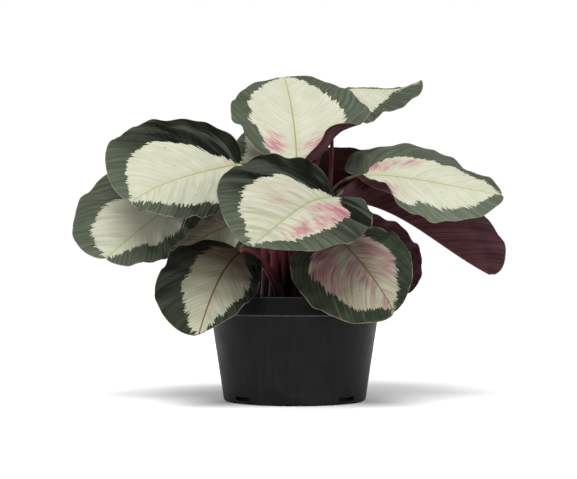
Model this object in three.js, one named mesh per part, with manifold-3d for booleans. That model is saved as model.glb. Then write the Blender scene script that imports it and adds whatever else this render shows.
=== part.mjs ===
import * as THREE from "three";
import { mergeVertices } from "three/addons/utils/BufferGeometryUtils.js";
import Module from "manifold-3d";

// A potted calathea: broad waved leaves on dark stalks, standing in soil in a shallow round pot.
// Millimetres, Z up, the pot's base ring on Z = 0 and its axis on the Z axis.
// The front of the plant, the side with the most leaves turned to it, looks towards -Y.

// Pot
const POT_TALL = 96.5;
const FOOT_RADIUS = 65.5;
const RIM_RADIUS = 80;
const RIM_BAND_TALL = 17;
const RIM_BAND_PROUD = 1.5;
const BODY_TOP_RADIUS = 77.6;
const POT_WALL = 2.0;
const FOOT_CORNER = 3;
const FLOOR_UNDER = 2.4;
const FLOOR_TOP = 4.6;
const POT_SIDES = 64;

// Notches that open the foot ring, and the drain slots above four of them
const NOTCH_TALL = 1.6;
const NARROW_NOTCH_WIDE = 14;
const WIDE_NOTCH_WIDE = 27;
const DRAIN_SLOT_WIDE = 19;
const DRAIN_SLOT_LOW = 3.2;
const DRAIN_SLOT_HIGH = 6.8;

// Soil
const SOIL_GAP = 0.35;
const SOIL_LEVEL = 84.5;
const SOIL_RINGS = 7;
const SOIL_SIDES = 40;

// Stalks, in blind round holes in the soil
const STALK_HOLE_DEEP = 14;
const STALK_HOLE_GAP = 0.45;
const STALK_SINK = 13.6;
const STALK_CLEAR_OF_SOIL = 3;
const STALK_RADIUS = 2.6;
const STALK_TAPER = 0.3;
const STALK_SIDES = 6;
const STALK_STEPS = 11;
const STALK_END_GAP = 0.7;

// Blades: thickness, the keel under the midrib, the grid, and the outline's roundness
const BLADE_THICK = 0.8;
const KEEL_DEEP = 1.3;
const BLADE_STATIONS = [0, 0.03, 0.1, 0.2, 0.31, 0.43, 0.55, 0.67, 0.78, 0.88, 0.96, 1];
const BLADE_ACROSS = [-1, -0.84, -0.62, -0.32, 0, 0.32, 0.62, 0.84, 1];
const BELLY = 0.9;
const BASE_ROUND = 0.5;
const TIP_POINT = 0.72;
const BASE_HALF_WIDE = 1.4;
const TIP_HALF_WIDE = 0.4;
const EDGE_WAVE_HIGH = 2;
const EDGE_WAVES = 4.2;
const EDGE_LOBE = 4;
const EDGE_REACH = 4.2;
const TURN_FROM = 0.5;
const TURN_OVER = 0.3;
const CURVE_STEPS = 16;

// Colours
const POT_COLOUR = 0x2b2b2d;
const SOIL_COLOUR = 0x2a2019;
const BLADE_COLOUR = 0x8f9f78;
const STALK_COLOUR = 0x4a1d24;

// The leaves. rib: the midrib's curve from base to tip; face: which way the upper face looks at
// base and tip; half: half widths; fold, curl and turn: degrees the halves lift at the midrib, bend
// towards the edge, and turn over near the edge; lobe and brow: how far the edge runs back past the
// base and forward near the tip; phase: where the edge's waves start; root: where the stalk stands;
// lean: how far it leans before its bend; stem: how stiffly it leaves the soil and meets the blade;
// thick: its radius at the soil, where it isn't STALK_RADIUS.
// l and r give the left and right half apart; a list gives even stations from base to tip.
const LEAVES = [
  {
    name: "top",
    rib: [[2, -5, 218], [2, 30, 249], [-4, 75, 296], [-11, 110, 316]],
    face: [[0, -0.55, 0.83], [0, -0.7, 0.7]],
    half: { l: [44, 46, 48, 51, 60, 63, 66, 65, 64], r: [60, 64, 76, 69, 74] },
    fold: { l: 5, r: 8 },
    curl: { l: [-30, -10, -10], r: -15 },
    turn: { l: 0, r: [150, 118, 25, 0, 0, 0, 0] },
    lobe: { l: 0, r: 4 },
    brow: { l: 6, r: 3 },
    phase: 0,
    root: [1, 3],
    stem: [70, 40],
  },
  {
    name: "top_right",
    rib: [[40, 102, 295], [60, 116, 317], [97, 122, 293], [130, 128, 315.5]],
    face: [[0, -0.75, 0.66], [0, -0.75, 0.66]],
    half: { l: [18, 15, 14, 14, 14], r: [66, 60, 55, 38, 34, 46] },
    fold: { l: -35, r: 0 },
    curl: { l: -20, r: 0 },
    lobe: { l: 4, r: 20 },
    phase: 0.37,
    root: [10, 9],
    lean: [38, 14],
    stem: [113, 14],
  },
  {
    name: "left_high",
    rib: [[-50, 15, 221], [-77, 5, 214], [-116, -25, 206], [-146, -55, 181]],
    face: [[0, -0.85, 0.5], [0, -0.6, 0.8]],
    half: { l: [51, 50, 48, 56, 60], r: [54, 64, 78, 92, 80] },
    fold: { l: 5, r: 12 },
    curl: { l: -40, r: -10 },
    lobe: { l: 4, r: 11 },
    brow: { l: 9, r: 8 },
    phase: 0.74,
    root: [-11, 1],
    stem: [67, 47],
  },
  {
    name: "left_low",
    rib: [[-86, 20, 196], [-122, 11, 181], [-143, -4, 159], [-171, -34, 131]],
    face: [[-0.1, -0.8, 0.6], [-0.1, -0.8, 0.6]],
    half: { l: [38, 36, 37, 50, 58], r: [70, 70, 71, 76, 98] },
    fold: { l: 5, r: 10 },
    curl: { l: -20, r: -10 },
    lobe: { l: 2, r: 5 },
    brow: { l: 7, r: 16 },
    phase: 0.11,
    root: [-26, 4],
    stem: [100, 45],
  },
  {
    name: "front",
    rib: [[39, -28, 184], [14, -60, 191], [-9, -95, 162], [-36, -128, 140]],
    face: [[0, -0.7, 0.7], [0, -0.75, 0.65]],
    half: { l: [46, 62, 70, 80, 76], r: [81, 66, 67, 78, 74] },
    fold: { l: [50, 20, 18, 18, 18], r: 26 },
    curl: -20,
    lobe: { l: 8, r: 16 },
    brow: { l: 1, r: 12 },
    phase: 0.48,
    root: [6, -9],
    stem: [48, 34],
  },
  {
    name: "right_high",
    rib: [[61, 10, 209], [93, 0, 212], [139, -10, 198], [188, -30, 189]],
    face: [[0, -0.6, 0.8], [0, -0.6, 0.8]],
    half: { l: [72, 76, 81, 53, 64], r: [41, 44, 47, 59, 60] },
    fold: { l: [-20, -8, -1, 0, 0, 0, 0], r: 0 },
    curl: { l: [0, -20, -10], r: -20 },
    turn: { l: 0, r: [140, 90, 0, 0, 0] },
    lobe: { l: 34, r: 0 },
    brow: { l: 0, r: 12 },
    phase: 0.85,
    root: [15, 0],
    stem: [60, 42],
    thick: 2.1,
  },
  {
    name: "right_low",
    rib: [[46, 25, 187], [100, 30, 185], [138, 30, 140], [185, 25, 116]],
    face: [[0.3, 0.5, 0.8], [0.5, 0.4, 0.77]],
    half: { l: 46, r: [40, 50, 68] },
    fold: { l: 65, r: 75 },
    brow: { l: 0, r: 18 },
    phase: 0.22,
    root: [22, 7],
    stem: [49, 22],
  },
  {
    name: "low_left",
    rib: [[-48, -35, 137], [-62, -60, 127], [-72, -90, 103], [-82, -105, 65]],
    face: [[-0.1, -0.75, 0.65], [-0.1, -0.9, 0.4]],
    half: { l: [38, 33, 36, 37, 35], r: [60, 62, 56, 62, 66] },
    curl: -10,
    lobe: { l: 6, r: 18 },
    brow: { l: -1, r: 8 },
    phase: 0.59,
    root: [-13, -15],
    stem: [24, 18],
  },
  {
    name: "low_right",
    rib: [[39, -34, 149], [49, -54, 140], [72, -89, 112], [85, -104, 84]],
    face: [[0, -0.75, 0.65], [0, -0.9, 0.4]],
    half: { l: [44, 48, 46, 43, 42], r: [70, 60, 61, 62, 61] },
    curl: -10,
    lobe: { l: 16, r: 18 },
    brow: { l: 0, r: 10 },
    phase: 0.96,
    root: [13, -17],
    stem: [31, 22],
  },
  {
    name: "right_under",
    rib: [[41, 10, 162], [67, 25, 151], [100, 40, 123], [109, 45, 98]],
    face: [[0.4, 0.8, 0.4], [0.6, 0.7, 0.2]],
    half: { l: 42, r: 44 },
    curl: -10,
    phase: 0.33,
    root: [25, -4],
    stem: [37, 26],
  },
  {
    name: "left_mid",
    rib: [[-45, 6, 166], [-68, 10, 164], [-93, 12, 150], [-118, 5, 126]],
    face: [[0, -0.8, 0.6], [-0.2, -0.9, 0.4]],
    half: { l: 38, r: 30 },
    curl: -10,
    phase: 0.7,
    root: [-19, -6],
    stem: [43, 30],
  },
  {
    name: "back_left",
    rib: [[-9, 30, 202], [-19, 50, 222], [-32, 80, 239], [-50, 115, 261]],
    face: [[0, -0.6, 0.8], [-0.1, -0.7, 0.7]],
    half: { l: 46, r: 32 },
    fold: 5,
    curl: -10,
    phase: 0.07,
    root: [-8, 9],
    stem: [57, 40],
  },
  {
    name: "back_right",
    rib: [[31, 80, 242], [35, 93, 240], [45, 113, 225], [52, 126, 200]],
    face: [[0, 0.5, 0.85], [0, 0.8, 0.5]],
    half: { l: 50, r: [10, 42, 50, 50, 50] },
    fold: -5,
    curl: -10,
    lobe: { l: 4, r: 0 },
    phase: 0.44,
    root: [5, 17],
    lean: [6, 8],
    stem: [95, 25],
  },
  {
    name: "far_high",
    rib: [[-3, 50, 190], [-8, 78, 204], [-18, 110, 198], [-22, 132, 165]],
    face: [[0, 0.3, 0.95], [0, 0.7, 0.7]],
    half: { l: 50, r: 42 },
    curl: -15,
    phase: 0.81,
    root: [-1, 17],
    stem: [74, 51],
  },
  {
    name: "far_left",
    rib: [[-35, 40, 185], [-65, 65, 200], [-105, 95, 190], [-140, 120, 150]],
    face: [[0, 0.3, 0.95], [-0.4, 0.5, 0.8]],
    half: 48,
    curl: -15,
    phase: 0.18,
    root: [-16, 15],
    stem: [48, 34],
  },
  {
    name: "far_low_left",
    rib: [[-32, 36, 150], [-48, 66, 160], [-72, 98, 140], [-90, 122, 100]],
    face: [[0, 0.3, 0.95], [-0.2, 0.7, 0.7]],
    half: 44,
    curl: -15,
    phase: 0.55,
    root: [-10, 24],
    stem: [31, 22],
  },
  {
    name: "far_low_right",
    rib: [[26, 42, 146], [46, 68, 158], [70, 100, 138], [92, 126, 96]],
    face: [[0, 0.3, 0.95], [0.3, 0.6, 0.7]],
    half: 44,
    curl: -15,
    phase: 0.92,
    root: [15, 25],
    stem: [31, 14],
  },
  {
    name: "far_right",
    rib: [[48, 71, 201], [70, 89, 216], [100, 105, 216], [135, 116, 194]],
    face: [[0, 0.2, 0.95], [0.2, 0.4, 0.9]],
    half: 44,
    curl: -15,
    phase: 0.29,
    root: [25, 16],
    lean: [1, 6],
    stem: [92, 20],
  },
  {
    name: "far_low",
    rib: [[-3, 42, 132], [-4, 68, 143], [-6, 98, 124], [-8, 122, 84]],
    face: [[0, 0.3, 0.95], [0, 0.7, 0.6]],
    half: [40, 44, 50, 60, 62],
    curl: -15,
    phase: 0.63,
    root: [-3, 31],
    stem: [24, 16],
  },
];

const RAD = Math.PI / 180;
const clamp01 = (x) => Math.min(1, Math.max(0, x));
const ease = (x) => x * x * (3 - 2 * x);
const vec = (p) => new THREE.Vector3(p[0], p[1], p[2]);

// A value that changes along the leaf: one number, or numbers at even stations from base to tip.
function along(values, s) {
  if (typeof values === "number") {
    return values;
  }
  const x = clamp01(s) * (values.length - 1);
  const k = Math.min(Math.floor(x), values.length - 2);
  const t = ease(x - k);
  return values[k] * (1 - t) + values[k + 1] * t;
}

// A leaf's pair of values: { l, r } for its left and right half, or one value for both.
function sideValue(pair, right, s) {
  const value = pair !== null && typeof pair === "object" && !Array.isArray(pair)
    ? (right ? pair.r : pair.l)
    : pair;
  return along(value, s);
}

function leafFrame(leaf, s) {
  const rib = new THREE.CubicBezierCurve3(...leaf.rib.map(vec));
  const point = rib.getPoint(s);
  const a = rib.v1.clone().sub(rib.v0).multiplyScalar(3 * (1 - s) * (1 - s));
  const b = rib.v2.clone().sub(rib.v1).multiplyScalar(6 * (1 - s) * s);
  const c = rib.v3.clone().sub(rib.v2).multiplyScalar(3 * s * s);
  const ahead = a.add(b).add(c).normalize();
  const t = ease(s);
  const face = vec(leaf.face[0]).normalize().multiplyScalar(1 - t)
    .add(vec(leaf.face[1]).normalize().multiplyScalar(t)).normalize();
  const side = ahead.clone().cross(face).normalize();
  const up = side.clone().cross(ahead);
  return { point, ahead, side, up };
}

// A point of the blade's middle surface: s from base to tip, v from -1 at the left edge to 1.
function bladePoint(leaf, s, v) {
  const { point, ahead, side, up } = leafFrame(leaf, s);
  const right = v >= 0;
  const sign = right ? 1 : -1;
  const out = Math.abs(v);
  const pick = (value) => sideValue(value, right, s);
  const swell = Math.max(0, Math.sin(Math.PI * Math.pow(s, BELLY)));
  const bulge = Math.pow(swell, BASE_ROUND + (TIP_POINT - BASE_ROUND) * s);
  const least = BASE_HALF_WIDE * (1 - s) + TIP_HALF_WIDE * s;
  const wide = Math.max(least, bulge * pick(leaf.half));
  const fold = pick(leaf.fold ?? 0) * RAD;
  const curl = pick(leaf.curl ?? 0) * RAD;
  const turn = pick(leaf.turn ?? 0) * RAD;
  let across = 0;
  let rise = 0;
  for (let k = 0; k < CURVE_STEPS; k += 1) {
    const at = out * (k + 0.5) / CURVE_STEPS;
    const angle = fold + curl * at + turn * ease(clamp01((at - TURN_FROM) / TURN_OVER));
    across += Math.cos(angle) * out / CURVE_STEPS;
    rise += Math.sin(angle) * out / CURVE_STEPS;
  }
  const slow = Math.sin(2 * Math.PI * (EDGE_WAVES * s + leaf.phase + 0.31 * sign));
  const quick = Math.sin(2 * Math.PI * (EDGE_WAVES * 1.9 * s + 2.3 * leaf.phase - 0.17 * sign));
  const fade = Math.sqrt(Math.max(0, Math.sin(Math.PI * s)));
  const wave = EDGE_WAVE_HIGH * Math.pow(out, 2.5) * fade * (slow + 0.5 * quick);
  const reach = EDGE_REACH * out * out;
  const lobe = pick(leaf.lobe ?? EDGE_LOBE) * reach * Math.pow(1 - s, 3) * Math.sqrt(s);
  const brow = pick(leaf.brow ?? 0) * reach * Math.pow(s, 3) * Math.sqrt(1 - s);
  return point
    .addScaledVector(side, sign * across * wide)
    .addScaledVector(up, rise * wide + wave)
    .addScaledVector(ahead, brow - lobe);
}

function bladeNormal(leaf, s, v) {
  const d = 0.012;
  const s0 = clamp01(s - d);
  const s1 = clamp01(s + d);
  const lead = bladePoint(leaf, s1, v).sub(bladePoint(leaf, s0, v));
  const edge = v === 0 ? [-0.06, 0.06] : [v - d * Math.sign(v), v];
  const wing = bladePoint(leaf, s, edge[1]).sub(bladePoint(leaf, s, edge[0]));
  if (v < 0) {
    wing.negate();
  }
  return wing.cross(lead).normalize();
}

// Both faces of a blade share one grid, so the blade keeps its thickness however it is folded.
function bladeGeometry(leaf) {
  const rows = BLADE_STATIONS.length;
  const cols = BLADE_ACROSS.length;
  const positions = [];
  for (const face of [1, -1]) {
    for (const s of BLADE_STATIONS) {
      for (const v of BLADE_ACROSS) {
        const sNear = Math.min(0.985, Math.max(0.015, s));
        const normal = bladeNormal(leaf, sNear, v);
        const keel = face < 0 && v === 0 ? KEEL_DEEP * (1 - 0.8 * s) : 0;
        const p = bladePoint(leaf, s, v).addScaledVector(normal, face * BLADE_THICK / 2 - keel);
        positions.push(p.x, p.y, p.z);
      }
    }
  }
  const at = (face, i, j) => (face * rows + i) * cols + j;
  const index = [];
  for (let i = 0; i < rows - 1; i += 1) {
    for (let j = 0; j < cols - 1; j += 1) {
      const slant = j < (cols - 1) / 2;
      const corners = [[i, j], [i, j + 1], [i + 1, j + 1], [i + 1, j]];
      const order = slant ? [[0, 1, 3], [1, 2, 3]] : [[0, 1, 2], [0, 2, 3]];
      for (const [a, b, c] of order) {
        index.push(at(0, ...corners[a]), at(0, ...corners[b]), at(0, ...corners[c]));
        index.push(at(1, ...corners[a]), at(1, ...corners[c]), at(1, ...corners[b]));
      }
    }
  }
  const wall = (i0, j0, i1, j1) => {
    index.push(at(0, i0, j0), at(0, i1, j1), at(1, i1, j1));
    index.push(at(0, i0, j0), at(1, i1, j1), at(1, i0, j0));
  };
  for (let j = 0; j < cols - 1; j += 1) {
    wall(0, j + 1, 0, j);
    wall(rows - 1, j, rows - 1, j + 1);
  }
  for (let i = 0; i < rows - 1; i += 1) {
    wall(i, 0, i + 1, 0);
    wall(i + 1, cols - 1, i, cols - 1);
  }
  const geometry = new THREE.BufferGeometry();
  geometry.setAttribute("position", new THREE.Float32BufferAttribute(positions, 3));
  geometry.setIndex(index);
  return geometry;
}

function stalkRadius(leaf) {
  return leaf.thick ?? STALK_RADIUS;
}

// A stalk: straight in its hole, then one long bend that meets the blade along its midrib.
function stalkPath(leaf) {
  const { point, ahead } = leafFrame(leaf, 0);
  const end = point.clone().addScaledVector(ahead, -STALK_END_GAP);
  const [x, y] = leaf.root;
  const [leanX, leanY] = leaf.lean ?? [0, 0];
  const foot = new THREE.Vector3(x, y, soilHeight(x, y) - STALK_SINK);
  const clear = new THREE.Vector3(x, y, soilHeight(x, y) + STALK_CLEAR_OF_SOIL);
  const path = new THREE.CurvePath();
  path.add(new THREE.LineCurve3(foot, clear));
  path.add(new THREE.CubicBezierCurve3(
    clear,
    clear.clone().add(new THREE.Vector3(leanX, leanY, leaf.stem[0])),
    end.clone().addScaledVector(ahead, -leaf.stem[1]),
    end,
  ));
  return path;
}

function stalkGeometry(leaf) {
  const path = stalkPath(leaf);
  const bend = path.curves[1];
  const centres = [path.curves[0].v1.clone()];
  const heads = [new THREE.Vector3(0, 0, 1)];
  for (let k = 0; k <= STALK_STEPS; k += 1) {
    const t = k / STALK_STEPS;
    centres.push(bend.getPoint(t));
    heads.push(bend.getTangent(t));
  }
  const positions = [];
  const index = [];
  let across = new THREE.Vector3(1, 0, 0);
  centres.forEach((centre, k) => {
    across = across.clone().addScaledVector(heads[k], -across.dot(heads[k])).normalize();
    const other = heads[k].clone().cross(across);
    const t = Math.max(0, k - 1) / STALK_STEPS;
    const radius = stalkRadius(leaf) * (1 - STALK_TAPER * t);
    for (let j = 0; j < STALK_SIDES; j += 1) {
      const turn = 2 * Math.PI * j / STALK_SIDES;
      const p = centre.clone()
        .addScaledVector(across, radius * Math.cos(turn))
        .addScaledVector(other, radius * Math.sin(turn));
      positions.push(p.x, p.y, p.z);
    }
  });
  const rings = centres.length;
  for (let k = 0; k < rings - 1; k += 1) {
    for (let j = 0; j < STALK_SIDES; j += 1) {
      const a = k * STALK_SIDES + j;
      const b = k * STALK_SIDES + (j + 1) % STALK_SIDES;
      index.push(a, b, b + STALK_SIDES, a, b + STALK_SIDES, a + STALK_SIDES);
    }
  }
  for (let j = 1; j < STALK_SIDES - 1; j += 1) {
    const top = (rings - 1) * STALK_SIDES;
    index.push(0, j + 1, j, top, top + j, top + j + 1);
  }
  const geometry = new THREE.BufferGeometry();
  geometry.setAttribute("position", new THREE.Float32BufferAttribute(positions, 3));
  geometry.setIndex(index);
  return geometry;
}

const wasm = await Module();
wasm.setup();

function solidOf(geometry) {
  const bare = geometry.clone();
  bare.deleteAttribute("normal");
  bare.deleteAttribute("uv");
  const merged = mergeVertices(bare, 1e-4);
  return new wasm.Manifold(new wasm.Mesh({
    numProp: 3,
    vertProperties: new Float32Array(merged.attributes.position.array),
    triVerts: new Uint32Array(merged.index.array),
  }));
}

function geometryOf(solid) {
  const mesh = solid.getMesh();
  const geometry = new THREE.BufferGeometry();
  const xyz = [];
  for (let k = 0; k < mesh.numVert; k += 1) {
    xyz.push(...mesh.vertProperties.slice(k * mesh.numProp, k * mesh.numProp + 3));
  }
  geometry.setAttribute("position", new THREE.Float32BufferAttribute(xyz, 3));
  geometry.setIndex([...mesh.triVerts]);
  return geometry;
}

// A closed profile of [radius, height] corners turned about the Z axis.
function turned(profile, sides) {
  const points = profile.map(([r, z]) => new THREE.Vector2(r, z));
  return new THREE.LatheGeometry(points, sides).rotateX(Math.PI / 2);
}

function placedBox(wide, deep, tall, turn, reach, low) {
  const box = new THREE.BoxGeometry(wide, deep, tall);
  box.translate(0, -reach, low + tall / 2);
  box.rotateZ(turn);
  return solidOf(box);
}

function wallRadius(z) {
  const bandLow = POT_TALL - RIM_BAND_TALL;
  return FOOT_RADIUS + (BODY_TOP_RADIUS - FOOT_RADIUS) * z / bandLow;
}

function potGeometry() {
  const bandLow = POT_TALL - RIM_BAND_TALL;
  const inner = (z) => wallRadius(Math.min(z, bandLow)) - POT_WALL;
  const profile = [
    [0, FLOOR_UNDER],
    [FOOT_RADIUS - 5, FLOOR_UNDER],
    [FOOT_RADIUS - 3.6, 0],
    [FOOT_RADIUS - 0.9, 0],
    [FOOT_RADIUS - 0.1, 0.8],
    [wallRadius(FOOT_CORNER), FOOT_CORNER],
    [wallRadius(bandLow), bandLow],
    [BODY_TOP_RADIUS + RIM_BAND_PROUD, bandLow + 0.8],
    [RIM_RADIUS - 0.3, POT_TALL - 0.5],
    [RIM_RADIUS - 0.8, POT_TALL],
    [RIM_RADIUS - 1.7, POT_TALL],
    [RIM_RADIUS - 2.2, POT_TALL - 0.6],
    [inner(bandLow), bandLow],
    [inner(FLOOR_TOP + 3), FLOOR_TOP + 3],
    [inner(FLOOR_TOP) - 3, FLOOR_TOP],
    [0, FLOOR_TOP],
  ];
  let pot = solidOf(turned(profile, POT_SIDES));
  for (let k = 0; k < 8; k += 1) {
    const wide = k % 2 ? WIDE_NOTCH_WIDE : NARROW_NOTCH_WIDE;
    pot = pot.subtract(placedBox(wide, 12, NOTCH_TALL + 1, k * Math.PI / 4, FOOT_RADIUS, -1));
  }
  const tall = DRAIN_SLOT_HIGH - DRAIN_SLOT_LOW;
  for (let k = 1; k < 8; k += 2) {
    const turn = k * Math.PI / 4;
    pot = pot.subtract(placedBox(DRAIN_SLOT_WIDE, 10, tall, turn, FOOT_RADIUS, DRAIN_SLOT_LOW));
  }
  return geometryOf(pot);
}

// The soil lies a little heaped towards the stalks, with low lumps that run out at the wall.
function soilHeight(x, y) {
  const radius = Math.hypot(x, y);
  const calm = clamp01((RIM_RADIUS - 6 - radius) / 20);
  const heap = 2.5 * Math.exp(-radius * radius / 900);
  const lumps = 1.1 * Math.sin(0.21 * x + 0.8) * Math.sin(0.19 * y - 0.4)
    + 0.6 * Math.sin(0.37 * x - 0.29 * y + 1.1);
  return SOIL_LEVEL + heap + calm * lumps;
}

function soilGeometry(leaves) {
  const bandLow = POT_TALL - RIM_BAND_TALL;
  const inner = (z) => wallRadius(Math.min(z, bandLow)) - POT_WALL - SOIL_GAP;
  const edge = inner(SOIL_LEVEL);
  const low = FLOOR_TOP + SOIL_GAP;
  const profile = [
    [0, low],
    [inner(FLOOR_TOP) - 3.2, low],
    [inner(FLOOR_TOP + 3) - 0.1, low + 3],
    [inner(bandLow) - 0.05, bandLow],
    [edge, SOIL_LEVEL - 1],
  ];
  for (let k = 0; k < SOIL_RINGS; k += 1) {
    profile.push([edge * (1 - k / SOIL_RINGS), SOIL_LEVEL]);
  }
  profile.push([0, SOIL_LEVEL]);
  const heap = turned(profile, SOIL_SIDES);
  const at = heap.attributes.position;
  for (let k = 0; k < at.count; k += 1) {
    if (at.getZ(k) > SOIL_LEVEL - 0.5) {
      at.setZ(k, soilHeight(at.getX(k), at.getY(k)));
    }
  }
  let soil = solidOf(heap);
  for (const leaf of leaves) {
    const [x, y] = leaf.root;
    const hole = new THREE.CylinderGeometry(1, 1, 40, STALK_SIDES * 2);
    const wide = stalkRadius(leaf) + STALK_HOLE_GAP;
    hole.rotateX(Math.PI / 2).scale(wide, wide, 1);
    hole.translate(x, y, soilHeight(x, y) - STALK_HOLE_DEEP + 20);
    soil = soil.subtract(solidOf(hole));
  }
  return geometryOf(soil);
}

function named(name, geometry, colour, roughness) {
  const mesh = new THREE.Mesh(geometry, new THREE.MeshStandardMaterial({ color: colour, roughness }));
  mesh.name = name;
  return mesh;
}

const group = new THREE.Group();
group.name = "potted_calathea";
group.add(named("pot", potGeometry(), POT_COLOUR, 0.6));
group.add(named("soil", soilGeometry(LEAVES), SOIL_COLOUR, 0.95));
for (const leaf of LEAVES) {
  group.add(named(`blade_${leaf.name}`, bladeGeometry(leaf), BLADE_COLOUR, 0.45));
  group.add(named(`stalk_${leaf.name}`, stalkGeometry(leaf), STALK_COLOUR, 0.5));
}

export default group;
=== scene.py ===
"""The potted calathea's looks: fine leaves, stalks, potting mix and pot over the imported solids.

Lengths are millimetres, as in the part's source, unless a name or comment says otherwise. Blender
works in metres, in the same frame: Z up, the pot standing on Z = 0, the side to which most leaves
turn towards -Y.
"""

import math
from types import SimpleNamespace

import bmesh
import bpy
import numpy as np
from mathutils import Matrix, Vector


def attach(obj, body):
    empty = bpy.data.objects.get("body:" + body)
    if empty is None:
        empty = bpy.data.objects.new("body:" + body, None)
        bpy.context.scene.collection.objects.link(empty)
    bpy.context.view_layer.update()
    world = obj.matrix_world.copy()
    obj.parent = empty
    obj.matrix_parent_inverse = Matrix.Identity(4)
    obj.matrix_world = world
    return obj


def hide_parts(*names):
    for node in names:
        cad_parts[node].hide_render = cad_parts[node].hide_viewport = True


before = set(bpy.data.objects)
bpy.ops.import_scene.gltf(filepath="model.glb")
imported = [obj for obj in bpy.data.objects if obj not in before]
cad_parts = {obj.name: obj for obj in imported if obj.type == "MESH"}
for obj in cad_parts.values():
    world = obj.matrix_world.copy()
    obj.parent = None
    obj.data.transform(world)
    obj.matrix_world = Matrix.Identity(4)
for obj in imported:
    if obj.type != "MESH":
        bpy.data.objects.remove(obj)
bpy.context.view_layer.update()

MM = 0.001
SEED = 20

# --- Light and camera
WORLD_LEVEL = 1.02
WORLD_OVERHEAD = 0.60
WORLD_GREYS_FROM = 0.25
WORLD_GREYS_TO = 0.60
KEY_POWER = 3.0
KEY_ANGLE_DEG = 42
KEY_DIRECTION = (0.14, 0.46, -0.88)
FILL_POWER = 0.45
FILL_ANGLE_DEG = 80
FILL_DIRECTION = (-0.5, 0.6, -0.6)
PHOTO_WIDE_PX = 577.0
FOCUS_PX = 1397.5
SENSOR_WIDE = 36.0
CAMERA_AT_M = (0.0, -1.3, 0.1164)
PITCH_DEG = 1.43
YAW_DEG = 0.254
FLOOR_REACH = 30000.0
FLOOR_TICKS = 9
FLOOR_DROP = 0.05

# --- The pot's and the soil's sizes
POT_TALL = 96.5
FOOT_RADIUS = 65.5
RIM_RADIUS = 80.0
RIM_BAND_TALL = 17.0
BAND_LOW = POT_TALL - RIM_BAND_TALL
BODY_TOP_RADIUS = 77.6
BAND_STEP = 1.5
POT_WALL = 2.0
FLOOR_UNDER = 2.4
FLOOR_TOP = 4.6
NOTCHES = 8
NOTCH_TURN = 2 * np.pi / NOTCHES
NOTCH_TALL = 1.6
NOTCH_REACH = 4.6
NOTCH_EASE_RAD = 0.022
NARROW_NOTCH_WIDE = 14.0
WIDE_NOTCH_WIDE = 27.0
DRAIN_SLOT_WIDE = 19.0
DRAIN_SLOT_LOW = 3.2
DRAIN_SLOT_HIGH = 6.8
DRAIN_CUT_DEEP = 10
RIM_HIGHLIGHT_FROM = 95.4
POT_ANGLES = 192
SHARP_FROM_DEG = 32
SOIL_GAP = 0.35
SOIL_LEVEL = 84.5
SOIL_RINGS = 64
SOIL_SIDES = 240
BITS = 900
BIT_CLEAR_OF_STALK = 4.2
PALE_BIT_UNDER = 1.6

# --- The leaves' shape
BELLY = 0.9
BASE_ROUND = 0.5
TIP_POINT = 0.72
BASE_HALF_WIDE = 1.4
TIP_HALF_WIDE = 0.4
EDGE_WAVE_HIGH = 2.0
EDGE_WAVES = 4.2
EDGE_LOBE = 4.0
EDGE_REACH = 4.2
TURN_FROM = 0.5
TURN_OVER = 0.3
CURVE_STEPS = 16
BLADE_THICK = 0.5
RIB_GROOVE_DEEP = 0.35
RIB_GROOVE_WIDE = 0.8
KEEL_DEEP = 1.3
KEEL_WIDE = 1.3
PLEATS = 21
PLEAT_DEEP = 0.95
PLEAT_CALM = 0.40
SOFT_FOLD = 0.60
VEIN_GAP = 6.6
VEIN_CORE = 0.12
VEIN_SWEEP = 3.0
VEIN_BEND = 1.1
ROWS = 168
HALF_COLUMNS = [0, 0.012, 0.026, 0.05, 0.09, 0.15, 0.215, 0.28, 0.345, 0.41, 0.475, 0.54, 0.605,
                0.67, 0.735, 0.80, 0.86, 0.91, 0.955, 0.985, 1.0]

# --- The stalks' shape
STALK_SINK = 13.6
STALK_CLEAR_OF_SOIL = 3.0
STALK_END_GAP = 0.7
STALK_RADIUS = 2.6
STALK_TAPER = 0.3
STALK_SIDES = 18
STALK_STEPS = 72
FOOT_STEPS = 7
TAIL_STEPS = 14
TAIL_FROM = 0.004
TAIL_TO = 0.16
TAIL_TAPER = 0.62
JOINT_LONG = 14
JOINT_SWELL = 0.10
GROOVE_DEEP = 0.16
SHEATH_SWELL = 1.3
SHEATH_FROM = 14
SHEATH_TO = 88

# Streaks along the side veins: the seed's shift, their gap, their length and their detail
SEED_SPREAD = 37.3
TOP_STREAKS = dict(broad=(0.0, 9.0, 70.0, 2.0), tooth=(0.31, 2.1, 24.0, 1.0), fine=(0.57, 0.8, 16.0, 1.0),
                   hair=(0.83, 0.45, 34.0, 2.0), stripe=(0.19, 3.4, 60.0, 3.0),
                   crease=(0.71, 4.6, 40.0, 2.0), mottle=(0.47, 1.5, 9.0, 2.0),
                   blotch=(0.23, 5.5, 15.0, 1.0), grain=(0.91, 1.7, 26.0, 3.0),
                   ridge=(0.0, 1.5, 34.0, 2.0))
UNDER_STREAKS = dict(broad=(0.0, 8.0, 60.0, 2.0), fine=(0.57, 1.0, 22.0, 2.0))

# What make_blade() stores for each point, three values to a field, and leaf_values() reads.
# row: which side vein. over, mid, rim: mm beyond the cream, from the midrib and from the rim.
LEAF_FIELDS = dict(leaf_lie=("row", "over", "seed"), leaf_reach=("mid", "rim", "s"),
                   leaf_tint=("pink", "age", "red"), leaf_painted_shade=("deep", "gloom", "creased"))
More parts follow.
